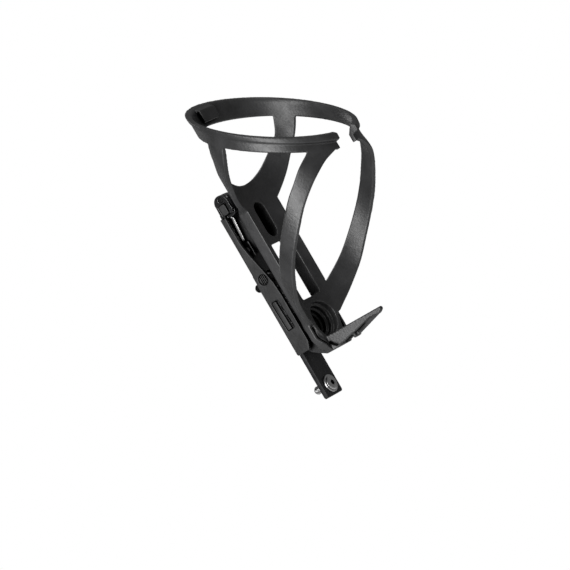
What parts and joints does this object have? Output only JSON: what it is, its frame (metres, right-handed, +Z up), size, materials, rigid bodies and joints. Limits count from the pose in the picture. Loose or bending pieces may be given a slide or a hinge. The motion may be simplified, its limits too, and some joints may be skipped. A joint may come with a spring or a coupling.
{
  "type": "water bottle cage",
  "caption": "Side-grip bottle cage on a flat relocating bar, with a side bracket that has a push-button latch, for a bicycle frame tube.",
  "frame": {"origin": "centre of the relocating bar's rear face, where the bar lies on the frame tube", "axes": "+Z up along the bottle, -Y towards the cage's open front, +Y towards the frame tube, +X to the cage's left as the rider sees it from the saddle"},
  "size_m": [0.0808, 0.1039, 0.1732],
  "materials": {
    "cage_nylon": "satin black glass-filled nylon with a fine moulded grain",
    "bar_anodised": "black anodised aluminium, fine brushed grain",
    "bracket_nylon": "dark grey matte moulded nylon",
    "cover_gloss": "dark grey gloss plastic",
    "button_nylon": "mid grey satin plastic",
    "stainless": "turned stainless steel",
    "spring_steel": "bright spring steel",
    "brass": "plain turned brass"
  },
  "bodies": {
    "root": {"cage": "cage_nylon", "relocating_bar": "bar_anodised", "side_bracket": "bracket_nylon", "steel_tongue": "spring_steel", "tongue_rivet": "stainless", "latch_cover": "cover_gloss", "cover_screw": "stainless", "latch_spring": "spring_steel", "clinch_nut_upper": "brass", "clinch_nut_lower": "brass", "cage_washer_upper": "stainless", "cage_washer_lower": "stainless", "cage_bolt_upper": "stainless", "cage_bolt_lower": "stainless", "frame_washer_upper": "stainless", "frame_washer_lower": "stainless", "frame_bolt_upper": "stainless", "frame_bolt_lower": "stainless", "rack_pin_1": "stainless", "rack_pin_2": "stainless", "rack_pin_3": "stainless", "rack_pin_4": "stainless", "rack_pin_5": "stainless"},
    "button": {"latch_button": "button_nylon", "latch_clip": "spring_steel"}
  },
  "joints": [
    {"name": "latch_press", "type": "slide", "parent": "root", "child": "button", "axis": [1, 0, 0], "range_m": [0, 0.0014], "stiffness_N_per_m": 500, "springref_m": -0.002, "deforming": ["latch_spring"]}
  ]
}
